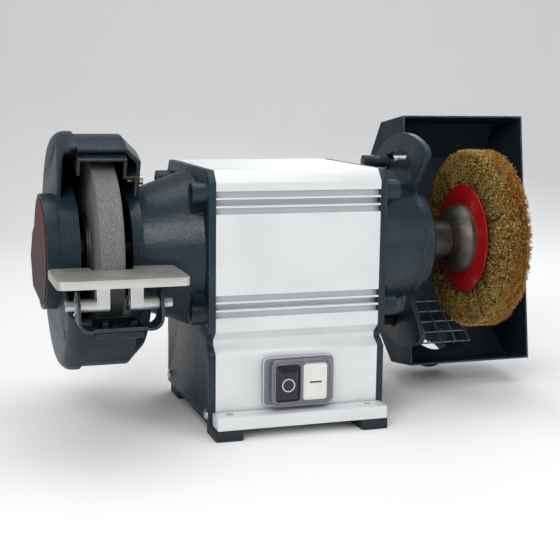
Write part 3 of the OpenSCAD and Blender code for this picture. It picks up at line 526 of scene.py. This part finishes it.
near, far = wheel_low.x + grit, wheel_high.x - grit
edge_r = wheel_r - grit
rim = [(x, edge_r) for x in np.linspace(near + 1.2 * MM, far - 1.2 * MM, 22)]
face = [(far, r) for r in np.linspace(edge_r - 1.2 * MM, bore_r, 24)]
back = [(near, r) for r in np.linspace(bore_r, edge_r - 1.2 * MM, 24)]
wheel_mesh = revolve("grinding_wheel_grit", rim + face + back, 640, grit * 0.45, 4)


def grains(tree):
    """The grains of the grit, a millimetre across."""
    return spots(tree, 1.0, 3, rough=0.7)


stone, tree, shader = surface(
    "vitrified_aluminium_oxide", grains,
    [(0.36, "4a4a4a"), (0.5, "707171"), (0.62, "909191"), (0.7, "b2b3b2")], 0.92, [(grains, 0.35)])
lay_tone(tree, shader, spots(tree, 30), (0.3, 0.7, 0, 0.3), "646463")
new_piece("grinding_wheel_grit", wheel_mesh, "rotor", stone, ("grinding_wheel",))

for name, tones, rough, depth, nodes in [
    ("pressed_blotter_paper", ("4d463c", "6a6152"), 0.9, 0.03, ["wheel_blotters"]),
    ("moulded_bush_plastic", ("d3d3cd", "e3e3de"), 0.5, 0.01, ["wheel_bush", "terminal_block"]),
]:
    plain, tree, shader = surface(
        name, lambda tree: spots(tree, 1.5, 4), [(0.3, tones[0]), (0.7, tones[1])],
        rough, [(lambda tree: spots(tree, 0.3), depth)])
    set_finish(nodes, plain)

# ---------------------------------------------------------------------------
# Stator windings: varnished copper wire, drawn as 0.9 mm strands round the core.


def strands(tree):
    """Strands of wire, side by side."""
    place = add(tree, "ShaderNodeTexCoord")["Object"]
    return add(tree, "ShaderNodeTexWave", {
        "Vector": place, "Scale": 350.0, "Distortion": 3.0, "Detail": 1.0}, bands_direction="X")["Fac"]


copper, tree, shader = surface(
    "varnished_copper_wire", strands, [(0.1, "5b2a14"), (0.6, "b5652f")], 0.3, [(strands, 0.25)], 0.7)
set_finish(["stator_windings"], copper)

# ---------------------------------------------------------------------------
# Wire wheel: crimped, brass-coated steel wire held between two red pressed
# discs. The wires are 0.3 mm; they are drawn thicker so that they show.

gloss_red, tree, shader = surface(
    "gloss_red_enamel", lambda tree: spots(tree, 20, 3), [(0.3, "8d0c12"), (0.7, "a31218")],
    (lambda tree: spots(tree, 3, 3), 0.22, 0.34), [(lambda tree: spots(tree, 2.5), 0.03)])
shader["Coat Weight"].default_value = 0.5
shader["Coat Roughness"].default_value = 0.1
eased("brush_spool", 0.7, gloss_red)

wires_low, wires_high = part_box("brush_wires")
# The colour follows small spots from dark to pale yellow: painted shade between the wires and painted glints
# on them.
brass, tree, shader = surface(
    "brass_coated_wire", lambda tree: spots(tree, 1.2, 2, rough=0.6),
    [(0.41, "3f2f10"), (0.5, "c99a3c"), (0.58, "ffe7a0")], 0.3, metal=1.0)
place = add(tree, "ShaderNodeTexCoord")["Object"]
depth_x = add(tree, "ShaderNodeSeparateXYZ", {"Vector": place})["X"]
inward = add(tree, "ShaderNodeMapRange", {
    "Value": depth_x, "From Min": wires_low.x + 2 * MM, "From Max": wires_low.x + 22 * MM,
    "To Min": 0, "To Max": 0.75})["Result"]
rust = add(tree, "ShaderNodeMapRange", {
    "Value": spots(tree, 22, 3), "From Min": 0.4, "From Max": 0.62, "To Min": 0.35, "To Max": 1})["Result"]
worked = add(tree, "ShaderNodeMath", {0: rust, 1: inward}, operation="MULTIPLY")[0]
lay_tone(tree, shader, worked, (0, 1, 0, 1), "bf7430")

brush_r = (wires_high.z - wires_low.z) / 2
brush_mid = (wires_low.x + wires_high.x) / 2
brush_half = (wires_high.x - wires_low.x) / 2
disc_r = (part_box("brush_spool")[1].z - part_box("brush_spool")[0].z) / 2


def wire_tree():
    """Geometry nodes: crimped wires that leave the discs and end near the rim."""
    tree = bpy.data.node_groups.new("crimped_wires", "GeometryNodeTree")
    tree.interface.new_socket("Geometry", in_out="OUTPUT", socket_type="NodeSocketGeometry")
    for name, kind, value in [
        ("Wires", "NodeSocketInt", 2000), ("Root radius", "NodeSocketFloat", 0.06),
        ("Tip radius", "NodeSocketFloat", 0.1), ("Low X", "NodeSocketFloat", 0.0),
        ("High X", "NodeSocketFloat", 0.0), ("Fan", "NodeSocketFloat", 0.0),
        ("Crimp", "NodeSocketFloat", 0.001), ("Wire radius", "NodeSocketFloat", 0.0003),
        ("Seed", "NodeSocketInt", 1), ("Centre", "NodeSocketVector", (0, 0, 0)),
        ("Tip spread", "NodeSocketFloat", 0.002), ("Middle X", "NodeSocketFloat", 0.0),
        ("Root least", "NodeSocketFloat", 0.0), ("Root most", "NodeSocketFloat", 0.55),
        ("Points", "NodeSocketInt", 14),
        ("Finish", "NodeSocketMaterial", None),
    ]:
        made = tree.interface.new_socket(name, in_out="INPUT", socket_type=kind)
        if value is not None:
            made.default_value = value
    given = add(tree, "NodeGroupInput")

    def maths(kind, a, b=0.0, c=0.0):
        return add(tree, "ShaderNodeMath", {0: a, 1: b, 2: c}, operation=kind)[0]

    index = add(tree, "GeometryNodeInputIndex")[0]

    def chance(low, high, offset):
        seed = maths("ADD", given["Seed"], offset)
        return add(tree, "FunctionNodeRandomValue", {
            2: low, 3: high, "ID": index, "Seed": seed}, data_type="FLOAT")[1]

    points = add(tree, "GeometryNodePoints", {"Count": given["Wires"]})[0]
    kept = {}
    for name, value in [
        ("turn", chance(0.0, 2 * math.pi, 11)),
        ("x", chance(given["Low X"], given["High X"], 23)),
        ("tip", maths("ADD", given["Tip radius"],
                      maths("MULTIPLY", given["Tip spread"], chance(-1.0, 0.35, 37)))),
        ("phase", chance(0.0, 2 * math.pi, 41)),
        ("phase_x", chance(0.0, 2 * math.pi, 59)),
        ("lean", chance(-0.12, 0.12, 67)),
        ("pitch", chance(0.8, 1.25, 71)),
        ("root", chance(given["Root least"], given["Root most"], 83)),
    ]:
        points = add(tree, "GeometryNodeStoreNamedAttribute", {
            "Geometry": points, "Name": name, "Value": value}, data_type="FLOAT", domain="POINT")[0]
        kept[name] = add(tree, "GeometryNodeInputNamedAttribute", {"Name": name}, data_type="FLOAT")[0]
    line = add(tree, "GeometryNodeCurvePrimitiveLine", {"Start": (0, 0, 0), "End": (0, 0, 1)})[0]
    wire = add(tree, "GeometryNodeResampleCurve", {"Curve": line, "Count": given["Points"]})[0]
    placed = add(tree, "GeometryNodeInstanceOnPoints", {"Points": points, "Instance": wire})[0]
    wires = add(tree, "GeometryNodeRealizeInstances", {"Geometry": placed})[0]
    along = add(tree, "GeometryNodeSplineParameter")["Factor"]
    reach = maths("SUBTRACT", kept["tip"], given["Root radius"])
    root = maths("ADD", given["Root radius"], maths("MULTIPLY", kept["root"], reach))
    radius = maths("ADD", root, maths("MULTIPLY", along, maths("SUBTRACT", kept["tip"], root)))
    swing = maths("ADD", maths("MULTIPLY", maths("MULTIPLY", radius, 1350.0), kept["pitch"]), kept["phase"])
    swing_x = maths("MULTIPLY", maths("MULTIPLY", radius, 1180.0), kept["pitch"])
    swing_x = maths("ADD", swing_x, kept["phase_x"])
    turn = maths("ADD", kept["turn"], maths("ADD", maths("MULTIPLY", kept["lean"], along), maths(
        "DIVIDE", maths("MULTIPLY", maths("SINE", swing), given["Crimp"]), radius)))
    aside = maths("SUBTRACT", kept["x"], given["Middle X"])
    fan = maths("MULTIPLY", maths("MULTIPLY", along, given["Fan"]), aside)
    x = maths("ADD", maths("ADD", kept["x"], fan), maths("MULTIPLY", maths("SINE", swing_x), given["Crimp"]))
    place = add(tree, "ShaderNodeCombineXYZ", {
        "X": x, "Y": maths("MULTIPLY", radius, maths("SINE", turn)),
        "Z": maths("MULTIPLY", radius, maths("COSINE", turn))})[0]
    shifted = add(tree, "ShaderNodeVectorMath", {0: place, 1: given["Centre"]}, operation="ADD")[0]
    bent = add(tree, "GeometryNodeSetPosition", {"Geometry": wires, "Position": shifted})[0]
    section = add(tree, "GeometryNodeCurvePrimitiveCircle", {
        "Resolution": 3, "Radius": given["Wire radius"]})[0]
    solid = add(tree, "GeometryNodeCurveToMesh", {
        "Curve": bent, "Profile Curve": section, "Fill Caps": True})[0]
    whole = add(tree, "GeometryNodeRealizeInstances", {"Geometry": solid})[0]
    coated = add(tree, "GeometryNodeSetMaterial", {"Geometry": whole, "Material": given["Finish"]})[0]
    add(tree, "NodeGroupOutput", {"Geometry": coated})
    return tree


def grow(name, tree, values):
    """The mesh that a geometry tree makes from its named inputs."""
    holder = bpy.data.objects.new("holder", bpy.data.meshes.new("holder"))
    bpy.context.scene.collection.objects.link(holder)
    modifier = holder.modifiers.new("nodes", "NODES")
    modifier.node_group = tree
    for item in tree.interface.items_tree:
        if item.in_out == "INPUT" and item.name in values:
            modifier[item.identifier] = values[item.name]
    sight = bpy.context.evaluated_depsgraph_get()
    sight.update()
    mesh = bpy.data.meshes.new_from_object(holder.evaluated_get(sight))
    bpy.data.objects.remove(holder)
    mesh.name = name
    stored = ("turn", "x", "tip", "phase", "phase_x", "lean", "pitch", "root")
    for attribute in [a.name for a in mesh.attributes if a.name in stored]:
        mesh.attributes.remove(mesh.attributes[attribute])
    return mesh


crimped = wire_tree()
layers = 8
for i in range(layers):
    low = brush_mid - brush_half + 2 * brush_half * i / layers
    outer = i in (0, layers - 1)
    points = 34 if outer else 16
    wire_count = 190 * 1000 // (points * 6) // 1
    wires = grow(f"wires_{i + 1}", crimped, {
        "Wires": wire_count, "Root radius": disc_r - 4 * MM, "Tip radius": brush_r - 0.6 * MM,
        "Low X": low + 1.4 * MM, "High X": low + 2 * brush_half / layers - 0.6 * MM, "Fan": 0.03,
        "Crimp": 1.75 * MM, "Wire radius": 0.3 * MM, "Seed": 7 * i + 3,
        "Tip spread": 3 * MM if outer else 2 * MM,
        "Root least": 0.0 if outer else 0.35, "Root most": 0.6 if outer else 0.75, "Points": points,
        "Centre": (0, spindle.y, spindle.z), "Middle X": brush_mid, "Finish": brass,
    })
    new_piece(f"brush_wires_{i + 1}", wires, "rotor")
bed = brush_half - 2.6 * MM
pile = [(brush_mid - bed, r) for r in np.linspace(disc_r - 12 * MM, brush_r - 6 * MM, 24)]
pile += [(x, brush_r - 4 * MM) for x in np.linspace(brush_mid - bed + 2 * MM, brush_mid + bed - 2 * MM, 16)]
pile += [(brush_mid + bed, r) for r in np.linspace(brush_r - 6 * MM, disc_r - 12 * MM, 24)]
# The pile is a dark solid under the drawn wires; its colour is painted shade for the depths of the brush.
deep, tree, shader = surface(
    "brass_wire_in_shadow", lambda tree: spots(tree, 1.4, 4, rough=0.7), [(0.35, "1d1507"), (0.65, "6b5323")],
    0.6, [(lambda tree: spots(tree, 1.2), 0.8)], 0.6)
pile_mesh = revolve("wire_pile", pile, 420, 0.7 * MM, 9)
new_piece("brush_wire_pile", pile_mesh, "rotor", deep, ("brush_wires",))

# ---------------------------------------------------------------------------
# Spark grille: welded, galvanised wire over the way to the dust spigot.

galvanised, tree, shader = surface(
    "galvanised_wire", lambda tree: spots(tree, 3, 4), [(0.3, "6f7a82"), (0.7, "a6afb5")],
    0.4, [(lambda tree: spots(tree, 0.6), 0.03)], 0.9)
set_finish(["spark_grille"], galvanised)

# ---------------------------------------------------------------------------
# Black plastic: the clamp knobs, the cord gland and the switch's insert, moulded
# in glass-filled nylon with a fine spark-eroded grain.


def eroded_grain(tree):
    """The fine grain of a spark-eroded mould."""
    return spots(tree, 0.5)


nylon, tree, shader = surface(
    "moulded_black_nylon", lambda tree: spots(tree, 6, 3), [(0.3, "131417"), (0.7, "202226")],
    (eroded_grain, 0.3, 0.45), [(eroded_grain, 0.02)])
set_finish(["cable_gland", "switch_body"], nylon)
eased("guard_clamp_bolts", 0.8, nylon)

# ---------------------------------------------------------------------------
# Switch: a silver-grey flange on the case, a soft clear boot around two push
# buttons, a black one to stop with a ring on it and a cream one to start.

# The flange's colour follows its edges: a painted highlight lightens them to near white.
flange_grey, tree, shader = surface(
    "silver_grey_abs", lambda tree: edges(tree, 2.4), [(0, "757886"), (1, "e4e6ec")],
    0.34, [(lambda tree: spots(tree, 0.6), 0.02)])
eased("switch_base", 0.9, flange_grey, 3)

clear, tree, shader = surface(
    "soft_clear_pvc", lambda tree: spots(tree, 5, 3), [(0.3, "a2a0b0"), (0.7, "bebccb")],
    0.08, [(lambda tree: spots(tree, 2.5), 0.15)])
# Painted highlight: the boot's rounded edges are lightened towards near white.
lay_tone(tree, shader, edges(tree, 3.0), (0, 1, 0, 1), "f6f5fb")
shader["Transmission Weight"].default_value = 0.7
shader["IOR"].default_value = 1.45
shader["Alpha"].default_value = 0.75
eased("switch_boot", 1.6, clear, 4)

face_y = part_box("off_button")[0].y


def push_button(node_name, finish, rim, slope, rise):
    """A button with a flat rim, four bevels up to its face, and round corners."""
    low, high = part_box(node_name)
    mid = (low + high) / 2
    half_w, half_h = (high.x - low.x) / 2, (high.z - low.z) / 2
    mesh = bpy.data.meshes.new(node_name + "_cap")
    work = bmesh.new()
    rings = []
    corner = 3.6 * MM
    for inset, y in [
        (0, high.y), (0, low.y + rise + 1.4 * MM),
        (0.5 * MM, low.y + rise + 0.4 * MM), (1.2 * MM, low.y + rise),
        (rim, low.y + rise), (rim + slope, low.y), (rim + slope + 0.4 * MM, low.y),
    ]:
        ring = []
        r = max(corner - inset, 0.8 * MM)
        for k in range(32):
            a = 2 * math.pi * (k + 0.5) / 32
            sx, sz = math.copysign(1, math.cos(a)), math.copysign(1, math.sin(a))
            x = mid.x + sx * (half_w - inset - r) + r * math.cos(a)
            z = mid.z + sz * (half_h - inset * 1.6 - r) + r * math.sin(a)
            ring.append(work.verts.new((x, y, z)))
        rings.append(ring)
    for low_ring, high_ring in zip(rings, rings[1:]):
        for k in range(32):
            j = (k + 1) % 32
            work.faces.new((low_ring[k], low_ring[j], high_ring[j], high_ring[k]))
    work.faces.new(rings[0])
    work.faces.new(rings[-1])
    bmesh.ops.recalc_face_normals(work, faces=work.faces)
    work.to_mesh(mesh)
    work.free()
    mesh.shade_smooth()
    mesh.set_sharp_from_angle(angle=math.radians(28))
    return new_piece(node_name + "_cap", mesh, node_name, finish, (node_name,))


gloss_black, tree, shader = surface(
    "gloss_black_abs", lambda tree: spots(tree, 6, 3), [(0.3, "16161b"), (0.7, "22222a")],
    0.13, [(lambda tree: spots(tree, 0.7), 0.01)])
# Painted highlight: faces that turn upwards are lightened in the colour, as if lit from above.
facing = add(tree, "ShaderNodeNewGeometry")["Normal"]
top_painted_highlight = add(tree, "ShaderNodeSeparateXYZ", {"Vector": facing})["Z"]
lay_tone(tree, shader, top_painted_highlight, (0.3, 0.5, 0, 0.8), "78787c")
cream, tree, shader = surface(
    "cream_abs", lambda tree: spots(tree, 12, 3), [(0.3, "d8dad2"), (0.7, "e4e5df")],
    0.35, [(lambda tree: spots(tree, 0.7), 0.01)])
push_button("off_button", gloss_black, 1.5 * MM, 3.6 * MM, 2.4 * MM)
push_button("on_button", cream, 1.6 * MM, 1.2 * MM, 0.5 * MM)

# Marks on the buttons: a printed ring to stop and a bar to start.
white_ink, tree, shader = surface(
    "white_pad_print", lambda tree: spots(tree, 1), [(0.3, "c3c8cf"), (0.7, "d5dae0")], 0.4)
dark_ink, tree, shader = surface(
    "dark_pad_print", lambda tree: spots(tree, 1), [(0.3, "26272b"), (0.7, "35363b")], 0.4)


def printed(name, outline, depth_y, body, finish):
    """A thin raised print from a closed band of two outlines in X and Z."""
    work = bmesh.new()
    rows = []
    for y in (depth_y, depth_y - 0.12 * MM):
        rows.append([[work.verts.new((x, y, z)) for x, z in loop] for loop in outline])
    (under_in, under_out), (top_in, top_out) = rows
    count = len(top_in)
    for k in range(count):
        j = (k + 1) % count
        for a, b in ((top_in, top_out), (under_out, under_in), (under_in, top_in), (top_out, under_out)):
            work.faces.new((a[k], a[j], b[j], b[k]))
    bmesh.ops.recalc_face_normals(work, faces=work.faces)
    mesh = bpy.data.meshes.new(name)
    work.to_mesh(mesh)
    work.free()
    return new_piece(name, mesh, body, finish)


off_low, off_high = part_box("off_button")
on_low, on_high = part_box("on_button")
off_mid, on_mid = (off_low + off_high) / 2, (on_low + on_high) / 2
ring_at = [
    [(off_mid.x + r * math.cos(a), off_mid.z - 2 * MM + r * math.sin(a))
     for a in np.linspace(0, 2 * math.pi, 48, endpoint=False)]
    for r in (6.0 * MM, 7.1 * MM)
]
printed("stop_ring", ring_at, off_low.y + 0.01 * MM, "off_button", white_ink)
corners = ((-1, -1), (1, -1), (1, 1), (-1, 1))
bar_at = [
    [(on_mid.x + sx * (6.6 * MM - inset), on_mid.z + sz * (0.9 * MM - inset)) for sx, sz in corners]
    for inset in (0.85 * MM, 0.0)
]
printed("start_bar", bar_at, on_low.y + 0.01 * MM, "on_button", dark_ink)
